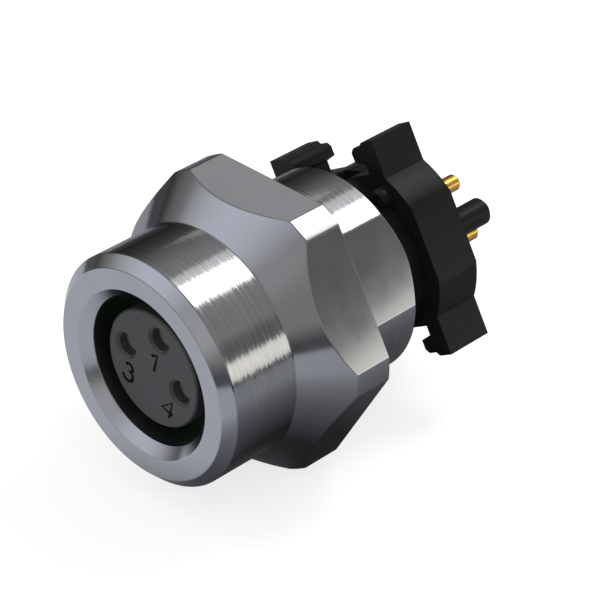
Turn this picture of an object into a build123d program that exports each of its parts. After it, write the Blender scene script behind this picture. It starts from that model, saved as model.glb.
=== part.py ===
from build123d import *
from math import cos, radians, sin
import os

# Panel socket for a round three-contact sensor plug, 8 mm class, with a carrier for a circuit board.
# The mating axis is Y and the socket's front looks towards -Y. The origin is on the axis at the
# seat behind the hexagon, where the housing meets its panel. +Z is up, with a hexagon flat on top.
# Lengths along the axis are counted back from the front face as depths.

# Shell: one turned and milled piece of plated brass
RING_R = 5.5
RING_LENGTH = 4.0
FACE_CHAMFER = 0.5
BORE_MOUTH_CHAMFER = 0.5
BORE_DEPTH = 4.0
CONE_LENGTH = 2.0
HEX_ACROSS_FLATS = 13.0
HEX_CORNER_R = 7.2
HEX_LAND = 2.0
BARREL_R = 4.97
BARREL_LENGTH = 4.55
BARREL_CHAMFER = 0.5
BARREL_FLAT_DEPTH = 0.5
INNER_LIP = 1.0
REAR_BORE_R = 4.0

# Contact insert
INSERT_RECESS = 0.72
NOSE_R = 2.8
NOSE_CLEARANCE = 0.05
PLUG_GAP = 0.74
NOSE_EDGE_CHAMFER = 0.08
BODY_LENGTH = 6.5
ENTRY_R = 0.53
ENTRY_COUNTERSINK = 0.13
ENTRY_DEPTH = 0.55

# Contacts, in a square of which three corners are filled
CONTACT_PITCH = 2.46
SLEEVE_R = 0.75
COLLAR_R = 1.0
COLLAR_LENGTH = 0.7
SHANK_R = 0.6
TAIL_R = 0.4
TAIL_LENGTH = 3.5
TAIL_CHAMFER = 0.12
CONTACT_CLEARANCE = 0.05

# Seal ring in the gap between bore and insert
SEAL_SQUEEZE_GAP = 0.01

# Rear carrier: hub, plate, ears, boss and peg in one moulding
CARRIER_TILT = 30
HUB_CLEARANCE = 0.05
PLATE_GAP = 1.05
PLATE_LENGTH = 2.5
PLATE_R = 5.0
PLATE_FLAT = 4.7
EAR_HALF_WIDTH = 3.71
EAR_REACH = 5.2
EAR_STEP = 0.18
EAR_STEP_WIDTH = 0.76
SLOT_FLOOR = 3.71
SLOT_HALF_WIDTH = 2.78
LIP_UNDERSIDE = 4.16
LIP_SLOPE = 0.2
LIP_INNER = 2.12
LIP_NOSE_CHAMFER = 0.2
BOSS_R = 0.46
BOSS_HEIGHT = 0.55
BOSS_CHAMFER = 0.15
BOSS_PLACE = (3.32, 2.61)
PEG_R = 0.65
PEG_LENGTH = 2.25
PEG_PLACE = 3.75
PEG_CHAMFER = 0.2
KEY_SLOT = (0.3, 1.35)
KEY_SLOT_DEPTH = 0.5
KEY_SLOT_LENGTH = 0.8

# How far cutters and joined roots pass a surface
MARGIN = 1.0

# Depths behind the front face, and radii that follow from others
CONE_END = RING_LENGTH + CONE_LENGTH
SEAT = CONE_END + HEX_LAND
BARREL_END = SEAT + BARREL_LENGTH
LIP_REAR = BORE_DEPTH + INNER_LIP
BODY_REAR = LIP_REAR + BODY_LENGTH
SLEEVE_FRONT = INSERT_RECESS + ENTRY_DEPTH
PLATE_FRONT = BARREL_END + PLATE_GAP
PLATE_REAR = PLATE_FRONT + PLATE_LENGTH
TAIL_END = PLATE_REAR + TAIL_LENGTH
BORE_R = NOSE_R + PLUG_GAP
HUB_R = REAR_BORE_R - HUB_CLEARANCE
CONTACT_PLACES = {
    "contact_1": (CONTACT_PITCH / 2, CONTACT_PITCH / 2),
    "contact_3": (-CONTACT_PITCH / 2, CONTACT_PITCH / 2),
    "contact_4": (CONTACT_PITCH / 2, -CONTACT_PITCH / 2),
}


def section_plane(depth, tilt=0):
    """Plane across the axis at a depth, facing the front, its x axis tilted up from the right."""
    x_dir = (cos(radians(tilt)), 0, sin(radians(tilt)))
    return Plane(origin=(0, depth - SEAT, 0), x_dir=x_dir, z_dir=(0, -1, 0))


def turned(profile, place=(0, 0)):
    """Solid of revolution about the mating axis from (radius, depth) points, at a carrier place."""
    outline = Pos(0, -SEAT, 0) * make_face(Polyline(*profile, close=True))
    return placed(revolve(outline, Axis.Y), place)


def placed(solid, place):
    """Move a solid from the axis to a place in the carrier's tilted square."""
    p, q = place
    tilt = radians(CARRIER_TILT)
    return Pos(p * cos(tilt) - q * sin(tilt), 0, p * sin(tilt) + q * cos(tilt)) * solid


def block_between(sketch, start, end, tilt=0):
    """Extrude a sketch drawn across the axis from one depth to another."""
    return extrude(section_plane(start, tilt) * sketch, -(end - start))


def cylinder_between(radius, start, end, place=(0, 0)):
    """Round bar along the axis between two depths."""
    return placed(block_between(Circle(radius), start, end), place)


def shell():
    """Turned housing: ring, cone, milled hexagon, barrel with flat, stepped bore."""
    outer = turned(
        [
            (0, 0),
            (RING_R - FACE_CHAMFER, 0),
            (RING_R, FACE_CHAMFER),
            (RING_R, RING_LENGTH),
            (HEX_CORNER_R, CONE_END),
            (HEX_CORNER_R, SEAT),
            (BARREL_R, SEAT),
            (BARREL_R, BARREL_END - BARREL_CHAMFER),
            (BARREL_R - BARREL_CHAMFER, BARREL_END),
            (0, BARREL_END),
        ]
    )
    hexagon = RegularPolygon(HEX_ACROSS_FLATS / 2, 6, major_radius=False)
    outer &= block_between(hexagon, -MARGIN, BARREL_END + MARGIN)
    beyond_flat = Rectangle(BARREL_R, 2 * BARREL_R, align=(Align.MIN, Align.CENTER))
    beyond_flat = Pos(BARREL_R - BARREL_FLAT_DEPTH, 0) * beyond_flat
    outer -= block_between(beyond_flat, SEAT, BARREL_END + MARGIN, CARRIER_TILT)
    bore = turned(
        [
            (0, 0),
            (BORE_R + BORE_MOUTH_CHAMFER, 0),
            (BORE_R, BORE_MOUTH_CHAMFER),
            (BORE_R, BORE_DEPTH),
            (NOSE_R + NOSE_CLEARANCE, BORE_DEPTH),
            (NOSE_R + NOSE_CLEARANCE, LIP_REAR),
            (REAR_BORE_R, LIP_REAR),
            (REAR_BORE_R, BARREL_END),
            (0, BARREL_END),
        ]
    )
    return outer - bore


def contact_insert():
    """Insulator: nose through the shell's lip, wider body behind it, three stepped entries."""
    body = turned(
        [
            (0, INSERT_RECESS),
            (NOSE_R - NOSE_EDGE_CHAMFER, INSERT_RECESS),
            (NOSE_R, INSERT_RECESS + NOSE_EDGE_CHAMFER),
            (NOSE_R, LIP_REAR),
            (HUB_R, LIP_REAR),
            (HUB_R, BODY_REAR),
            (0, BODY_REAR),
        ]
    )
    for place in CONTACT_PLACES.values():
        body -= turned(entry_profile(), place)
    return body


def entry_profile():
    """Countersunk entry hole, then the room for a contact's sleeve and its collar."""
    collar_front = BODY_REAR - COLLAR_LENGTH
    return [
        (0, INSERT_RECESS),
        (ENTRY_R + ENTRY_COUNTERSINK, INSERT_RECESS),
        (ENTRY_R, INSERT_RECESS + ENTRY_COUNTERSINK),
        (ENTRY_R, SLEEVE_FRONT),
        (SLEEVE_R + CONTACT_CLEARANCE, SLEEVE_FRONT),
        (SLEEVE_R + CONTACT_CLEARANCE, collar_front),
        (COLLAR_R + CONTACT_CLEARANCE, collar_front),
        (COLLAR_R + CONTACT_CLEARANCE, BODY_REAR),
        (0, BODY_REAR),
    ]


def contact(place):
    """Turned contact: sleeve, collar at the insert's rear, shank, solder tail."""
    collar_front = BODY_REAR - COLLAR_LENGTH
    return turned(
        [
            (0, SLEEVE_FRONT),
            (SLEEVE_R, SLEEVE_FRONT),
            (SLEEVE_R, collar_front),
            (COLLAR_R, collar_front),
            (COLLAR_R, BODY_REAR),
            (SHANK_R, BODY_REAR),
            (SHANK_R, PLATE_REAR),
            (TAIL_R, PLATE_REAR),
            (TAIL_R, TAIL_END - TAIL_CHAMFER),
            (TAIL_R - TAIL_CHAMFER, TAIL_END),
            (0, TAIL_END),
        ],
        place,
    )


def seal_ring():
    """Rubber ring lying on the floor of the gap between bore and nose."""
    cord_r = PLUG_GAP / 2 - SEAL_SQUEEZE_GAP
    depth = BORE_DEPTH - cord_r - SEAL_SQUEEZE_GAP
    return section_plane(depth) * Torus(NOSE_R + PLUG_GAP / 2, cord_r)


def ear_outline(side_p, side_q):
    """Half of a T-slot's wall: an ear with its stepped end and its inward lip."""
    points = [
        (SLOT_HALF_WIDTH, SLOT_FLOOR - MARGIN),
        (EAR_HALF_WIDTH, SLOT_FLOOR - MARGIN),
        (EAR_HALF_WIDTH, EAR_REACH),
        (EAR_HALF_WIDTH - EAR_STEP_WIDTH, EAR_REACH),
        (EAR_HALF_WIDTH - EAR_STEP_WIDTH - EAR_STEP, EAR_REACH - EAR_STEP),
        (LIP_INNER + LIP_NOSE_CHAMFER, EAR_REACH - EAR_STEP),
        (LIP_INNER, EAR_REACH - EAR_STEP - LIP_NOSE_CHAMFER),
        (LIP_INNER, LIP_UNDERSIDE + LIP_SLOPE),
        (SLOT_HALF_WIDTH, LIP_UNDERSIDE),
    ]
    return make_face(Polyline(*[(side_p * p, side_q * q) for p, q in points], close=True))


def carrier_plate():
    """Plate with its two side flats, cut to the slots' floors, and four hooked ears."""
    middle = Circle(PLATE_R) & Rectangle(2 * PLATE_FLAT, 2 * SLOT_FLOOR)
    sketch = middle + Circle(HUB_R)
    for side_p in (1, -1):
        for side_q in (1, -1):
            sketch += ear_outline(side_p, side_q)
    return block_between(sketch, PLATE_FRONT, PLATE_REAR, CARRIER_TILT)


def boss():
    """Round boss with a chamfered end on the plate's front, facing the shell's end."""
    boss_end = PLATE_FRONT - BOSS_HEIGHT
    profile = [
        (0, boss_end),
        (BOSS_R - BOSS_CHAMFER, boss_end),
        (BOSS_R, boss_end + BOSS_CHAMFER),
        (BOSS_R, PLATE_FRONT),
        (0, PLATE_FRONT),
    ]
    return turned(profile, BOSS_PLACE)


def peg():
    """Locating peg for the circuit board, with a chamfered end."""
    peg_end = PLATE_REAR + PEG_LENGTH
    profile = [
        (0, PLATE_REAR),
        (PEG_R, PLATE_REAR),
        (PEG_R, peg_end - PEG_CHAMFER),
        (PEG_R - PEG_CHAMFER, peg_end),
        (0, peg_end),
    ]
    return turned(profile, (PEG_PLACE, 0))


def rear_carrier():
    """Moulded carrier: hub in the shell's barrel, plate, ears, boss, peg and shank holes."""
    body = cylinder_between(HUB_R, BODY_REAR, PLATE_FRONT)
    body += carrier_plate()
    body += boss()
    body += peg()
    low, high = KEY_SLOT
    slot = Pos((low + high) / 2, HUB_R) * Rectangle(high - low, 2 * KEY_SLOT_DEPTH)
    body -= block_between(slot, BARREL_END, PLATE_FRONT + KEY_SLOT_LENGTH, CARRIER_TILT)
    for place in CONTACT_PLACES.values():
        body -= cylinder_between(SHANK_R + CONTACT_CLEARANCE, BODY_REAR, PLATE_REAR, place)
    return body


def pieces():
    """Every node by name."""
    made = {
        "shell": shell(),
        "contact_insert": contact_insert(),
        "seal_ring": seal_ring(),
        "rear_carrier": rear_carrier(),
    }
    for name, place in CONTACT_PLACES.items():
        made[name] = contact(place)
    return made


os.makedirs("parts", exist_ok=True)
for node, solid in pieces().items():
    export_step(solid, f"parts/{node}.step")
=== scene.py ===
from math import cos, hypot, pi, radians, sin

import bmesh
import bpy
from mathutils import Matrix, Vector


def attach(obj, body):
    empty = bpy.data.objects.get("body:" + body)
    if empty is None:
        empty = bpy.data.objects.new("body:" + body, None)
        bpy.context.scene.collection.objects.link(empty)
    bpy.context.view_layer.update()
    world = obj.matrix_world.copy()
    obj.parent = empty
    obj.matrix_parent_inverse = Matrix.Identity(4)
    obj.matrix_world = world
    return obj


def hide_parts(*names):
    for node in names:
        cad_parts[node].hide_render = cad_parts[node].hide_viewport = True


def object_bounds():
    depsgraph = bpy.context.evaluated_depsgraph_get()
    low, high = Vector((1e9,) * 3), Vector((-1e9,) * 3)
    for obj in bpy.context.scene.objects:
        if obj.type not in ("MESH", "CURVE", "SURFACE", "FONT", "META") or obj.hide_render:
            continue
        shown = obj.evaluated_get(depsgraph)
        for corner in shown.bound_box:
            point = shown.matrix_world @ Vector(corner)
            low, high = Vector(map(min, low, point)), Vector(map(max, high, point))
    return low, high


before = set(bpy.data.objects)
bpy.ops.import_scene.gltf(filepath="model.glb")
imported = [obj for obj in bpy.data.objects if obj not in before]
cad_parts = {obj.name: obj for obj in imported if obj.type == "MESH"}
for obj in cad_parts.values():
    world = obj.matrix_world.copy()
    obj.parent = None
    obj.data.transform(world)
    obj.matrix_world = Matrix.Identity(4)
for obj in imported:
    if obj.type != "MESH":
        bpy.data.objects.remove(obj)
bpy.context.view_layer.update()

# A panel socket for a round sensor plug. Sizes are in millimetres as in the part's source, and MM
# turns them into the scene's metres. Depths are counted back from the socket's front face.
MM = 0.001
SEAT = 8.0
CARRIER_TILT = 30

# Shell
RING_R = 5.5
RING_LENGTH = 4.0
FACE_CHAMFER = 0.5
BORE_R = 3.54
BORE_MOUTH_CHAMFER = 0.5
BORE_DEPTH = 4.0
CONE_LENGTH = 2.0
HEX_FLAT_R = 6.5
HEX_CORNER_R = 7.2
BARREL_R = 4.97
BARREL_END = 12.55
BARREL_CHAMFER = 0.5
BARREL_FLAT_R = 4.47
LIP_R = 2.85
LIP_REAR = 5.0
REAR_BORE_R = 4.0
EDGE_ROUNDING = 0.05
CORNER_BLEND = 0.02
CHAMFER_LEFT = 0.004
HEX_TURN = 60
HALF_HEX_FLAT = 25.47
HALF_BARREL_FLAT = 25.92

# Insert, seal ring and contacts
INSERT_RECESS = 0.72
NOSE_R = 2.8
NOSE_CHAMFER = 0.08
BODY_R = 3.95
BODY_REAR = 11.5
ENTRY_R = 0.53
ENTRY_COUNTERSINK = 0.13
SLEEVE_FRONT = 1.27
SLEEVE_R = 0.75
COLLAR_R = 1.0
COLLAR_FRONT = 10.8
SHANK_R = 0.6
CONTACT_CLEARANCE = 0.05
TAIL_R = 0.4
TAIL_CHAMFER = 0.12
PLATE_REAR = 16.1
TAIL_END = 19.6
HALF_PITCH = 1.23
CONTACTS = {
    "1": (HALF_PITCH, HALF_PITCH),
    "3": (-HALF_PITCH, HALF_PITCH),
    "4": (HALF_PITCH, -HALF_PITCH),
}
SEAL_MIDDLE_R = 3.17
SEAL_CORD_R = 0.36
SEAL_DEPTH = 3.63
PAST_FACE = 1

# Meshes: points closer than MERGE are one, and CURVE_STEPS parts make each rounded corner
MERGE = 0.0002
CAD_MERGE = 0.002
CURVE_STEPS = 3


def linear(hex_colour):
    """Linear colour of an sRGB hex value."""
    levels = [int(hex_colour[i : i + 2], 16) / 255 for i in (1, 3, 5)]
    return [v / 12.92 if v <= 0.04045 else ((v + 0.055) / 1.055) ** 2.4 for v in levels] + [1.0]


def node(tree, kind, inputs=None, **settings):
    """Add a node with its settings, and link or set its inputs."""
    made = tree.nodes.new(kind)
    for key, value in settings.items():
        setattr(made, key, value)
    for key, value in (inputs or {}).items():
        if isinstance(value, bpy.types.NodeSocket):
            tree.links.new(value, made.inputs[key])
        else:
            made.inputs[key].default_value = value
    return made


def new_material(name):
    """Empty node material."""
    made = bpy.data.materials.new(name)
    made.use_nodes = True
    made.node_tree.nodes.clear()
    return made


def vector_math(tree, operation, inputs):
    """First result of a vector sum. A length or a dot product is its second."""
    return node(tree, "ShaderNodeVectorMath", inputs, operation=operation).outputs[0]


def noise(tree, along, across, detail=3.0):
    """Noise over object coordinates with one length in mm along the axis and another across it."""
    place = node(tree, "ShaderNodeTexCoord").outputs["Object"]
    scale = (1 / (across * MM), 1 / (along * MM), 1 / (across * MM))
    stretched = node(tree, "ShaderNodeMapping", {"Vector": place, "Scale": scale}).outputs["Vector"]
    settings = {"Vector": stretched, "Scale": 1.0, "Detail": detail, "Roughness": 0.6}
    return node(tree, "ShaderNodeTexNoise", settings).outputs


def grain(tree, along, across, detail=3.0):
    """Single value of the noise."""
    return noise(tree, along, across, detail)["Fac"]


def streaks(tree, along, across, lean):
    """Normals that lean at random from one groove to the next, with lengths in mm as for noise."""
    colour = noise(tree, along, across, detail=2.0)["Color"]
    centred = vector_math(tree, "SUBTRACT", {0: colour, 1: (0.5, 0.5, 0.5)})
    scaled = vector_math(tree, "SCALE", {0: centred, "Scale": lean})
    straight = node(tree, "ShaderNodeNewGeometry").outputs["Normal"]
    leant = vector_math(tree, "ADD", {0: straight, 1: scaled})
    return vector_math(tree, "NORMALIZE", {0: leant})


def between(tree, factor, low, high):
    """Straight change from one number to another as the factor goes from 0 to 1."""
    ends = {"Value": factor, "To Min": low, "To Max": high}
    return node(tree, "ShaderNodeMapRange", ends).outputs["Result"]


def spread(tree, value, low, high):
    """Map a noise's middle range to a range of its own."""
    limits = {"Value": value, "From Min": 0.3, "From Max": 0.7, "To Min": low, "To Max": high}
    return node(tree, "ShaderNodeMapRange", limits).outputs["Result"]


def tinted(tree, value, dark, light):
    """Colour between two hex values."""
    mix = node(tree, "ShaderNodeMix", {"Factor": value}, data_type="RGBA")
    mix.inputs[6].default_value = linear(dark)
    mix.inputs[7].default_value = linear(light)
    return mix.outputs[2]


def raised(tree, height, strength, distance):
    """Normals of a bump whose depth is in mm."""
    inputs = {"Height": height, "Strength": strength, "Distance": distance * MM}
    return node(tree, "ShaderNodeBump", inputs).outputs["Normal"]


def close_material(made, surface, **constants):
    """Principled shader with its linked inputs and constant values, and the output."""
    tree = made.node_tree
    shader = node(tree, "ShaderNodeBsdfPrincipled", surface)
    for key, value in constants.items():
        shader.inputs[key.replace("_", " ")].default_value = value
    node(tree, "ShaderNodeOutputMaterial", {"Surface": shader.outputs["BSDF"]})
    return made


def satin_nickel(name, smoothest, roughest):
    """Nickel plating on turned brass: mid grey, and the smoother it is the clearer it mirrors."""
    made = new_material(name)
    tree = made.node_tree
    cloud = grain(tree, 1.6, 1.6)
    fine = grain(tree, 0.05, 0.25)
    surface = {
        "Base Color": tinted(tree, spread(tree, cloud, 0.0, 1.0), "#999a9d", "#9d9ea1"),
        "Roughness": spread(tree, cloud, smoothest, roughest),
        "Normal": raised(tree, fine, 0.3, 0.00015),
    }
    return close_material(made, surface, Metallic=1.0)


def brushed_nickel():
    """Nickel over turning grooves that each lean their own way, which breaks up a reflection's edge."""
    made = new_material("brushed_nickel_plating")
    tree = made.node_tree
    # Real grooves are a few hundredths of a millimetre apart. They are drawn wider, so that they show.
    shade = grain(tree, 0.09, 6.0, detail=2.0)
    surface = {
        "Base Color": tinted(tree, spread(tree, shade, 0.0, 1.0), "#949597", "#a2a3a5"),
        "Roughness": spread(tree, shade, 0.10, 0.17),
        "Normal": streaks(tree, 0.042, 8.0, 0.1),
    }
    return close_material(made, surface, Metallic=1.0)


def moulded_plastic(name, dark, light, rough_low, rough_high, texture, **constants):
    """Moulded from a spark-eroded tool, which gives a fine matt grain and slight clouds of shade."""
    made = new_material(name)
    tree = made.node_tree
    cloud = grain(tree, 1.2, 1.2)
    eroded = grain(tree, 0.07, 0.07)
    surface = {
        "Base Color": tinted(tree, spread(tree, cloud, 0.0, 1.0), dark, light),
        "Roughness": spread(tree, cloud, rough_low, rough_high),
        "Normal": raised(tree, eroded, 0.5, texture),
    }
    return close_material(made, surface, IOR=1.5, **constants)


def contact_plating():
    """Gold on the turned tails, bright and warm, and duller pale nickel on the contact's front."""
    made = new_material("gold_and_nickel_contact_plating")
    tree = made.node_tree
    place = node(tree, "ShaderNodeTexCoord").outputs["Object"]
    back = node(tree, "ShaderNodeSeparateXYZ", {"Vector": place}).outputs["Y"]
    limits = {"Value": back, "From Min": 0.0, "From Max": 0.5 * MM}
    gold_part = node(tree, "ShaderNodeMapRange", limits).outputs["Result"]
    lines = grain(tree, 0.06, 1.5)
    gold = tinted(tree, spread(tree, lines, 0.0, 1.0), "#d9a441", "#ecbd62")
    mix = node(tree, "ShaderNodeMix", {"Factor": gold_part}, data_type="RGBA")
    mix.inputs[6].default_value = linear("#a9a9a4")
    tree.links.new(gold, mix.inputs[7])
    surface = {
        "Base Color": mix.outputs[2],
        # The front's light comes down a narrow entry, and a full metal would show it black.
        "Metallic": between(tree, gold_part, 0.3, 1.0),
        "Roughness": spread(tree, lines, 0.20, 0.32),
        "Normal": raised(tree, lines, 0.6, 0.002),
    }
    return close_material(made, surface)


# Nickel, from clear mirror to matt
SATIN_NICKEL = satin_nickel("satin_nickel_plating", 0.09, 0.12)
BORE_NICKEL = satin_nickel("matt_nickel_in_the_bore", 0.32, 0.38)
SOFT_NICKEL = satin_nickel("soft_nickel_on_mouth_and_corners", 0.19, 0.24)
BRUSHED_NICKEL = brushed_nickel()

# Engineering plastic of the insert: even and matt
GREY_PLASTIC = moulded_plastic(
    "dark_grey_moulded_plastic", "#3f4041", "#454647", 0.48, 0.56, 0.0015
)
# Engineering plastic of the carrier: nearly black, with a faint gloss
BLACK_PLASTIC = moulded_plastic(
    "black_moulded_plastic", "#1f1f1f", "#252524", 0.30, 0.38, 0.0015, Specular_IOR_Level=0.1
)
# Printed numbers: flat black without gloss
MARK_INK = moulded_plastic(
    "black_marking_ink", "#060607", "#0a0a0b", 0.6, 0.7, 0.001, Specular_IOR_Level=0.05
)
# Rubber of the seal: green, seen only as a tinge that the bore reflects
GREEN_RUBBER = moulded_plastic("green_seal_rubber", "#2a8038", "#349544", 0.38, 0.46, 0.001)
CONTACT_PLATING = contact_plating()


def tilted(place):
    """Right and up of a place in the carrier's tilted square."""
    p, q = place
    turn = radians(CARRIER_TILT)
    return p * cos(turn) - q * sin(turn), p * sin(turn) + q * cos(turn)


def smaller(a, b, blend):
    """The smaller of two values, with the change from one to the other rounded over."""
    overlap = max(blend - abs(a - b), 0) / blend
    return min(a, b) - overlap * overlap * blend / 4


def angle_off(angle, middle):
    """Angle from a direction, in radians between -pi and pi."""
    return (radians(angle - middle) + pi) % (2 * pi) - pi


def rounded(corners, reach, steps=CURVE_STEPS):
    """Closed outline with each corner drawn as a short curve."""
    points = []
    for i, b in enumerate(corners):
        a, c = corners[i - 1], corners[(i + 1) % len(corners)]
        to_a = hypot(a[0] - b[0], a[1] - b[1])
        to_c = hypot(c[0] - b[0], c[1] - b[1])
        cut = min(reach, 0.45 * to_a, 0.45 * to_c)
        p = [b[k] + (a[k] - b[k]) / to_a * cut for k in (0, 1)]
        q = [b[k] + (c[k] - b[k]) / to_c * cut for k in (0, 1)]
        for step in range(steps + 1):
            t = step / steps
            points.append([
                (1 - t) ** 2 * p[k] + 2 * t * (1 - t) * b[k] + t * t * q[k] for k in (0, 1)
            ])
    return points


def shell_outline(angle):
    """Section of the shell at an angle from the right towards up, as (radius, depth) corners."""
    to_flat = radians(angle % HEX_TURN - HEX_TURN / 2)
    hexagon = smaller(HEX_CORNER_R, HEX_FLAT_R / cos(to_flat), CORNER_BLEND)
    cone_end = RING_LENGTH + CONE_LENGTH * (hexagon - RING_R) / (HEX_CORNER_R - RING_R)
    off = angle_off(angle, CARRIER_TILT)
    flat = BARREL_FLAT_R / cos(off) if abs(off) < pi / 3 else 2 * BARREL_R
    barrel = smaller(BARREL_R, flat, CORNER_BLEND)
    chamfer_taken = min(BARREL_R - barrel, BARREL_CHAMFER - CHAMFER_LEFT)
    chamfer_front = BARREL_END - BARREL_CHAMFER + chamfer_taken
    return [
        (BORE_R + BORE_MOUTH_CHAMFER, 0),
        (RING_R - FACE_CHAMFER, 0),
        (RING_R, FACE_CHAMFER),
        (RING_R, RING_LENGTH),
        (hexagon, cone_end),
        (hexagon, SEAT),
        (barrel, SEAT),
        (barrel, chamfer_front),
        (BARREL_R - BARREL_CHAMFER, BARREL_END),
        (REAR_BORE_R, BARREL_END),
        (REAR_BORE_R, LIP_REAR),
        (LIP_R, LIP_REAR),
        (LIP_R, BORE_DEPTH),
        (BORE_R, BORE_DEPTH),
        (BORE_R, BORE_MOUTH_CHAMFER),
    ]


def shell_angles():
    """Angles of the shell's sections, closer together where a flat meets a round."""
    angles = {float(a) for a in range(360)}
    sides = (-1, 1)
    joins = [HEX_TURN * (k + 0.5) + side * HALF_HEX_FLAT for k in range(6) for side in sides]
    joins += [CARRIER_TILT + side * HALF_BARREL_FLAT for side in sides]
    for join in joins:
        angles |= {round((join + step) % 360, 3) for step in (-0.4, -0.2, -0.07, 0.07, 0.2, 0.4)}
    return sorted(angles)


def add_object(name, mesh, materials):
    """Object for a mesh, with its materials."""
    made = bpy.data.objects.new(name, mesh)
    bpy.context.scene.collection.objects.link(made)
    for material in materials:
        mesh.materials.append(material)
    return made


def swept_mesh(name, angles, section, face_material=None):
    """Closed mesh of sections turned about the axis. A section gives (radius, depth) points."""
    mesh = bpy.data.meshes.new(name)
    shape = bmesh.new()
    columns = []
    for angle in angles:
        turn = radians(angle)
        columns.append([
            shape.verts.new((r * cos(turn) * MM, (s - SEAT) * MM, r * sin(turn) * MM))
            for r, s in section(angle)
        ])
    count = len(columns[0])
    for i, column in enumerate(columns):
        after = columns[(i + 1) % len(columns)]
        for k in range(count):
            above = (k + 1) % count
            face = shape.faces.new((column[k], after[k], after[above], column[above]))
            face.smooth = True
            if face_material:
                face.material_index = face_material(angles[i], k)
    bmesh.ops.remove_doubles(shape, verts=shape.verts, dist=MERGE * MM)
    bmesh.ops.recalc_face_normals(shape, faces=shape.faces)
    shape.to_mesh(mesh)
    shape.free()
    return mesh


def baked(piece):
    """Apply a piece's modifiers by evaluating it to a plain mesh."""
    evaluated = piece.evaluated_get(bpy.context.evaluated_depsgraph_get())
    mesh = bpy.data.meshes.new_from_object(evaluated)
    piece.modifiers.clear()
    piece.data = mesh
    return piece


def steady_normals(piece):
    """Let large faces set the normals, so that flats stay flat beside their rounded edges."""
    mesh = baked(piece).data
    sums = [Vector() for _ in mesh.vertices]
    for face in mesh.polygons:
        for corner in face.vertices:
            sums[corner] += face.normal * face.area
    mesh.normals_split_custom_set_from_vertices([total.normalized() for total in sums])


# Finishes of the shell, as places in its list of materials
SATIN, BRUSHED, MATT, SOFT = range(4)


def wall_after(corner):
    """Number of the face between a corner of the shell's outline and the next."""
    return (corner + 1) * (CURVE_STEPS + 1) - 1


def shell_finish(angle, k):
    """Finish of the shell's face k in the section at an angle."""
    arc = CURVE_STEPS + 1
    # Most faces are one degree wide. These limits part those of a flat from those beside it.
    flat_limit, corner_limit = 25.6, 25.4
    middle = angle + 0.5
    on_flat = abs(angle_off(middle, CARRIER_TILT)) < radians(flat_limit)
    on_corner = abs(middle % HEX_TURN - HEX_TURN / 2) > corner_limit
    if k in range(14 * arc, 15 * arc) or (k == wall_after(4) and on_corner):
        return SOFT
    if k in range(wall_after(10), 14 * arc):
        return MATT
    if k == wall_after(2) or (k == wall_after(6) and not on_flat):
        return BRUSHED
    return SATIN


def make_shell():
    """Turned and milled shell with rounded edges, brushed on the ring and the barrel."""
    mesh = swept_mesh(
        "turned_shell", shell_angles(), lambda a: rounded(shell_outline(a), EDGE_ROUNDING), shell_finish
    )
    finishes = [SATIN_NICKEL, BRUSHED_NICKEL, BORE_NICKEL, SOFT_NICKEL]
    shell = add_object("turned_shell", mesh, finishes)
    steady_normals(shell)
    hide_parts("shell")
    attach(shell, "root")


def lathe(name, corners, reach, slot, material, place=(0, 0), segments=96, steps=CURVE_STEPS):
    """Turned solid from (radius, depth) corners that start and end on its axis."""
    points = rounded(corners, reach, steps)
    mesh = swept_mesh(name, [360 * k / segments for k in range(segments)], lambda a: points)
    right, up = tilted(place)
    mesh.transform(Matrix.Translation((right * MM, 0, up * MM)))
    return add_object(name, mesh, [material])


def round_edges(piece, width, segments, sharpest):
    """Small rounding in mm on each edge that turns by more than an angle."""
    bevel = piece.modifiers.new("edges", "BEVEL")
    bevel.width = width * MM
    bevel.segments = segments
    bevel.limit_method = "ANGLE"
    bevel.angle_limit = radians(sharpest)


def make_insert():
    """Insert with three countersunk entry holes cut through to the contacts."""
    body = [
        (0, INSERT_RECESS),
        (NOSE_R - NOSE_CHAMFER, INSERT_RECESS),
        (NOSE_R, INSERT_RECESS + NOSE_CHAMFER),
        (NOSE_R, LIP_REAR),
        (BODY_R, LIP_REAR),
        (BODY_R, BODY_REAR),
        (0, BODY_REAR),
    ]
    hole = [
        (0, INSERT_RECESS - PAST_FACE),
        (ENTRY_R + ENTRY_COUNTERSINK, INSERT_RECESS - PAST_FACE),
        (ENTRY_R + ENTRY_COUNTERSINK, INSERT_RECESS),
        (ENTRY_R, INSERT_RECESS + ENTRY_COUNTERSINK),
        (ENTRY_R, SLEEVE_FRONT),
        (SLEEVE_R + CONTACT_CLEARANCE, SLEEVE_FRONT),
        (SLEEVE_R + CONTACT_CLEARANCE, COLLAR_FRONT),
        (COLLAR_R + CONTACT_CLEARANCE, COLLAR_FRONT),
        (COLLAR_R + CONTACT_CLEARANCE, BODY_REAR + PAST_FACE),
        (0, BODY_REAR + PAST_FACE),
    ]
    insert = lathe("moulded_insert", body, 0.02, "grey_plastic", GREY_PLASTIC, segments=144)
    sharp = {"segments": 48, "steps": 1}
    cutters = [
        lathe("cutter_" + name, hole, 0.0001, "grey_plastic", GREY_PLASTIC, place, **sharp)
        for name, place in CONTACTS.items()
    ]
    for cutter in cutters:
        cut = insert.modifiers.new("entry", "BOOLEAN")
        cut.object = cutter
        cut.operation = "DIFFERENCE"
        cut.solver = "EXACT"
    round_edges(insert, 0.03, 2, 35)
    steady_normals(insert)
    for cutter in cutters:
        bpy.data.objects.remove(cutter)
    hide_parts("contact_insert")
    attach(insert, "root")


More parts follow.
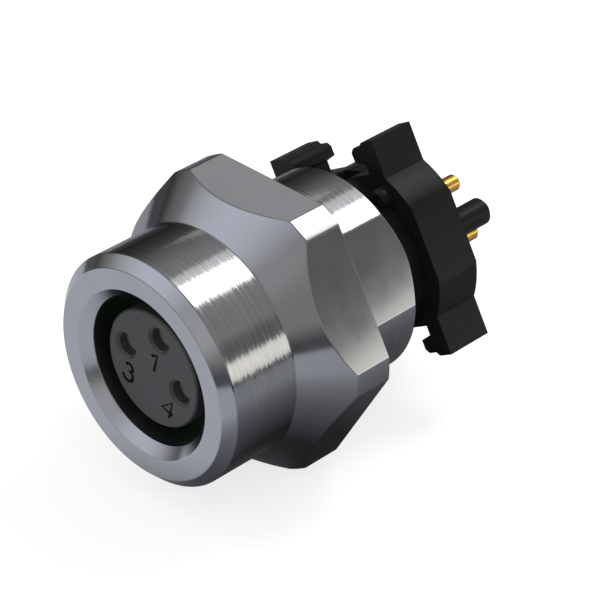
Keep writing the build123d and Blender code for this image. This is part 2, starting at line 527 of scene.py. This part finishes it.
def make_seal_ring():
    """Rubber ring on the floor of the gap between bore and insert."""
    points, sections = 32, 144
    turns = [2 * pi * k / points for k in range(points)]
    circle = [
        (SEAL_MIDDLE_R + SEAL_CORD_R * cos(turn), SEAL_DEPTH + SEAL_CORD_R * sin(turn)) for turn in turns
    ]
    angles = [360 * k / sections for k in range(sections)]
    mesh = swept_mesh("rubber_seal_ring", angles, lambda a: circle)
    ring = add_object("rubber_seal_ring", mesh, [GREEN_RUBBER])
    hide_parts("seal_ring")
    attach(ring, "root")


def make_contacts():
    """Turned contacts with their solder tails."""
    corners = [
        (0, SLEEVE_FRONT),
        (SLEEVE_R, SLEEVE_FRONT),
        (SLEEVE_R, COLLAR_FRONT),
        (COLLAR_R, COLLAR_FRONT),
        (COLLAR_R, BODY_REAR),
        (SHANK_R, BODY_REAR),
        (SHANK_R, PLATE_REAR),
        (TAIL_R, PLATE_REAR),
        (TAIL_R, TAIL_END - TAIL_CHAMFER),
        (TAIL_R - TAIL_CHAMFER, TAIL_END),
        (0, TAIL_END),
    ]
    for name, place in CONTACTS.items():
        contact = lathe(
            "turned_contact_" + name, corners, 0.04, "gold_plating", CONTACT_PLATING, place, segments=64
        )
        steady_normals(contact)
        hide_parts("contact_" + name)
        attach(contact, "root")


def make_carrier():
    """The carrier's own solid with its moulded edges rounded."""
    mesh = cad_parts["rear_carrier"].data.copy()
    shape = bmesh.new()
    shape.from_mesh(mesh)
    bmesh.ops.remove_doubles(shape, verts=shape.verts, dist=CAD_MERGE * MM)
    bmesh.ops.dissolve_limit(shape, angle_limit=radians(1), verts=shape.verts, edges=shape.edges)
    for face in shape.faces:
        face.smooth = True
    shape.to_mesh(mesh)
    shape.free()
    mesh.materials.clear()
    carrier = add_object("moulded_carrier", mesh, [BLACK_PLASTIC])
    round_edges(carrier, 0.06, 3, 32)
    steady_normals(carrier)
    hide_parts("rear_carrier")
    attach(carrier, "root")


# Contact numbers: strokes in mm on the insert's face, in a frame turned with the contacts
DIGIT_TURN = -15
STROKE_WIDTH = 0.17
STROKE_HEIGHT = 0.012


def bow(middle, reach, start, end):
    """Points of an open curve about a middle, with its reach to the side and up."""
    return [
        (middle[0] + reach[0] * cos(radians(a)), middle[1] + reach[1] * sin(radians(a)))
        for a in range(start, end, -15)
    ]


THREE_UPPER = bow((-1.28, -1.02), (0.22, 0.21), 165, -75)
THREE_LOWER = bow((-1.27, -1.47), (0.31, 0.29), 75, -166)
DIGITS = {
    "1": [[(-0.20, 0.67), (0.11, 0.90), (0.11, -0.03)]],
    "3": [THREE_UPPER + [(-1.27, -1.21)] + THREE_LOWER],
    "4": [[(1.487, -1.76), (1.487, -0.83), (0.965, -1.47), (1.65, -1.47)]],
}


def make_digits():
    """Plain contact numbers in low relief on the insert's face."""
    turn = radians(DIGIT_TURN)
    for name, strokes in DIGITS.items():
        line = bpy.data.curves.new("mark_" + name, "CURVE")
        line.dimensions = "3D"
        line.bevel_depth = STROKE_WIDTH / 2 * MM
        line.bevel_resolution = 3
        line.use_fill_caps = True
        for stroke in strokes:
            spline = line.splines.new("POLY")
            spline.points.add(len(stroke) - 1)
            for point, (x, y) in zip(spline.points, stroke):
                right = x * cos(turn) - y * sin(turn)
                up = x * sin(turn) + y * cos(turn)
                point.co = (right * MM, 0, up * MM, 1)
        drawn = bpy.data.objects.new("mark_" + name, line)
        bpy.context.scene.collection.objects.link(drawn)
        evaluated = drawn.evaluated_get(bpy.context.evaluated_depsgraph_get())
        mesh = bpy.data.meshes.new_from_object(evaluated)
        bpy.data.objects.remove(drawn)
        flatten = Matrix.Diagonal((1, 2 * STROKE_HEIGHT / STROKE_WIDTH, 1, 1))
        mesh.transform(Matrix.Translation((0, (INSERT_RECESS - SEAT) * MM, 0)) @ flatten)
        mesh.materials.clear()
        digit = add_object("contact_mark_" + name, mesh, [MARK_INK])
        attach(digit, "root")


make_shell()
make_insert()
make_seal_ring()
make_contacts()
make_carrier()
make_digits()


# Studio: pale floor and backdrop, and soft boxes. Metal sees it with lighter and darker sides, which
# were tuned until its reflections came near the photograph's.
PART_MIDDLE = (0, 1.5, 0)
# Middle of the painted shadow on the floor, which only metal sees
PAINTED_SHADOW_MIDDLE = Vector((3, -2, 0))
FLOOR_GREY = 0.5
FLOOR_LIFT = 0.75
FLOOR_DROP = 0.02
FLOOR_SIZE = 20
PLAIN_LIGHT = 0.55
WHITE = (1, 1, 1, 1)


def direction(azimuth, elevation):
    """Unit vector: azimuth 0 is out of the socket's front, 90 is right."""
    a, e = radians(azimuth), radians(elevation)
    return Vector((sin(a) * cos(e), -cos(a) * cos(e), sin(e)))


def measured(tree, operation, inputs):
    """Number that a vector sum gives, such as a length or a dot product."""
    return node(tree, "ShaderNodeVectorMath", inputs, operation=operation).outputs["Value"]


def lobe(tree, way, azimuth, elevation, inner, outer, ramp="SMOOTHSTEP"):
    """1 within an angle of a direction, falling to 0 at a wider angle."""
    aim = measured(tree, "DOT_PRODUCT", {0: way, 1: direction(azimuth, elevation)})
    return fade(tree, aim, cos(radians(outer)), cos(radians(inner)), 0.0, 1.0, ramp)


def fade(tree, value, start, end, low, high, ramp="SMOOTHSTEP"):
    """Change from one number to another as a value goes from a start to an end."""
    limits = {"Value": value, "From Min": start, "From Max": end, "To Min": low, "To Max": high}
    return node(tree, "ShaderNodeMapRange", limits, interpolation_type=ramp).outputs["Result"]


def value_math(tree, operation, first, second):
    """Result of a sum with two values."""
    return node(tree, "ShaderNodeMath", {0: first, 1: second}, operation=operation).outputs["Value"]


def product(tree, *values):
    """Product of several values."""
    total = values[0]
    for value in values[1:]:
        total = value_math(tree, "MULTIPLY", total, value)
    return total


def glow(tree, kind, colour, strength):
    """Light of one colour, from an emission or a background."""
    return node(tree, kind, {"Color": colour, "Strength": strength}).outputs[0]


def by_ray(tree, plain, camera, metal):
    """One shader for the camera, one for metal and glass, and a plain one for all other light."""
    rays = node(tree, "ShaderNodeLightPath").outputs
    reflected = value_math(tree, "MAXIMUM", rays["Is Glossy Ray"], rays["Is Transmission Ray"])
    view = node(tree, "ShaderNodeMixShader", {0: rays["Is Camera Ray"], 1: plain, 2: camera}).outputs[0]
    return node(tree, "ShaderNodeMixShader", {0: reflected, 1: view, 2: metal}).outputs[0]


def make_floor():
    """Pale floor. The camera sees it lifted to white with its shadow. Metal sees an emission with
    painted shade instead: a painted shadow close by, darker far out and to the back left, lighter to the
    front left.
    """
    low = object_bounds()[0][2]
    bpy.ops.mesh.primitive_plane_add(size=FLOOR_SIZE, location=(0, 0, low - FLOOR_DROP * MM))
    floor = bpy.context.object
    floor.name = "studio_floor"
    made = new_material("pale_floor")
    tree = made.node_tree
    grey = (FLOOR_GREY, FLOOR_GREY, FLOOR_GREY, 1)
    plain = node(tree, "ShaderNodeBsdfDiffuse", {"Color": grey}).outputs["BSDF"]
    lift = glow(tree, "ShaderNodeEmission", WHITE, FLOOR_LIFT)
    seen = node(tree, "ShaderNodeAddShader", {0: plain, 1: lift}).outputs["Shader"]
    # What metal sees of the floor is an emission with painted light and shade, not the lit floor.
    place = node(tree, "ShaderNodeTexCoord").outputs["Object"]
    from_part = vector_math(tree, "SUBTRACT", {0: place, 1: PAINTED_SHADOW_MIDDLE * MM})
    # The painted shadow of the part reaches further along its axis than to its sides.
    stretched = vector_math(tree, "MULTIPLY", {0: from_part, 1: (1, 0.65, 0)})
    near = measured(tree, "LENGTH", {0: stretched})
    far = measured(tree, "LENGTH", {0: from_part})
    way = vector_math(tree, "NORMALIZE", {0: from_part})
    before_part = measured(tree, "DOT_PRODUCT", {0: place, 1: (-0.34, -0.94, 0)})
    front = fade(tree, before_part, 5 * MM, 12 * MM, 0.0, 1.0)
    # Painted shadow: darker close round the part.
    painted_shadow_falloff = fade(tree, near, 2.5 * MM, 18.5 * MM, 0.06, 1.0, "LINEAR")
    clear = value_math(tree, "MAXIMUM", front, painted_shadow_falloff)
    # Painted shade far out and to the back left, and painted light to the front left.
    painted_far_shade = fade(tree, far, 46 * MM, 78 * MM, 1.0, 0.22)
    painted_light_front_left = between(tree, lobe(tree, way, -37, 0, 20, 160), 0.52, 1.0)
    back_left = between(tree, lobe(tree, way, -135, 0, 14, 58), 1.0, 0.38)
    level = product(tree, clear, painted_far_shade, painted_light_front_left, back_left)
    painted_floor_reflection = glow(tree, "ShaderNodeEmission", linear("#f4f7ff"), level)
    node(tree, "ShaderNodeOutputMaterial", {"Surface": by_ray(tree, plain, seen, painted_floor_reflection)})
    floor.data.materials.append(made)


def make_world():
    """Plain studio light. The camera sees white, and metal sees a window, a fill and a horizon."""
    world = bpy.data.worlds.new("studio")
    bpy.context.scene.world = world
    world.use_nodes = True
    tree = world.node_tree
    tree.nodes.clear()
    way = node(tree, "ShaderNodeTexCoord").outputs["Generated"]
    height = node(tree, "ShaderNodeSeparateXYZ", {"Vector": way}).outputs["Z"]
    horizon = fade(tree, height, -0.02, 0.19, 0.42, 1.0)
    window = lobe(tree, way, -37, 40, 6, 43, "LINEAR")
    fill = between(tree, lobe(tree, way, 5, 20, 20, 32), 0.46, 0.84)
    back_left = between(tree, lobe(tree, way, -125, -8, 5, 60), 1.0, 0.1)
    front = value_math(tree, "MAXIMUM", between(tree, window, 0.46, 1.38), fill)
    right_gap = between(tree, lobe(tree, way, 129, 15, 4, 15), 1.0, 0.52)
    level = product(tree, front, horizon, back_left, right_gap)
    studio = glow(tree, "ShaderNodeBackground", tinted(tree, window, "#ffffff", "#eef3ff"), level)
    plain = glow(tree, "ShaderNodeBackground", WHITE, PLAIN_LIGHT)
    white = glow(tree, "ShaderNodeBackground", WHITE, 1.0)
    node(tree, "ShaderNodeOutputWorld", {"Surface": by_ray(tree, plain, white, studio)})


def soft_box(
    name, target, azimuth, elevation, distance, width, height, brightness, colour="#ffffff"
):
    """Area lamp that faces a point in mm. Brightness is how light its own surface looks."""
    lamp = bpy.data.lights.new(name, "AREA")
    lamp.shape = "RECTANGLE"
    lamp.size = width * MM
    lamp.size_y = height * MM
    lamp.energy = brightness * pi * width * height * MM * MM
    lamp.color = linear(colour)[:3]
    made = bpy.data.objects.new(name, lamp)
    made.location = (Vector(target) + direction(azimuth, elevation) * distance) * MM
    made.rotation_euler = direction(azimuth, elevation).to_track_quat("Z", "Y").to_euler()
    bpy.context.scene.collection.objects.link(made)


def make_camera():
    """The photograph's view, from a camera fitted to the part's edges in it."""
    lens = bpy.data.cameras.new("view")
    lens.sensor_width = 36
    lens.lens = 165.8
    lens.clip_start = 0.001
    camera = bpy.data.objects.new("view", lens)
    right = Vector((0.7099, 0.7043, 0.00195))
    up = Vector((-0.38526, 0.38601, 0.8382))
    back = Vector((0.58959, -0.59579, 0.54537))
    place = Matrix((right, up, back)).transposed().to_4x4()
    place.translation = Vector((73.566, -72.586, 67.444)) * MM
    camera.matrix_world = place
    bpy.context.scene.collection.objects.link(camera)
    bpy.context.scene.camera = camera


make_floor()
make_world()
make_camera()
soft_box("back_top_box", PART_MIDDLE, 171, 56, 150, 48, 60, 6.0)
soft_box("back_top_shoulder", PART_MIDDLE, 197, 55, 150, 26, 56, 0.9)
soft_box("right_strip", (5, -1, 2), 127, 3.9, 110, 71, 30, 1.75, "#fffaf0")
soft_box("top_card", (-9.6, 8.3, 0), 0, 90, 14.15, 10, 6, 0.46)

bpy.context.scene.view_settings.view_transform = "Standard"
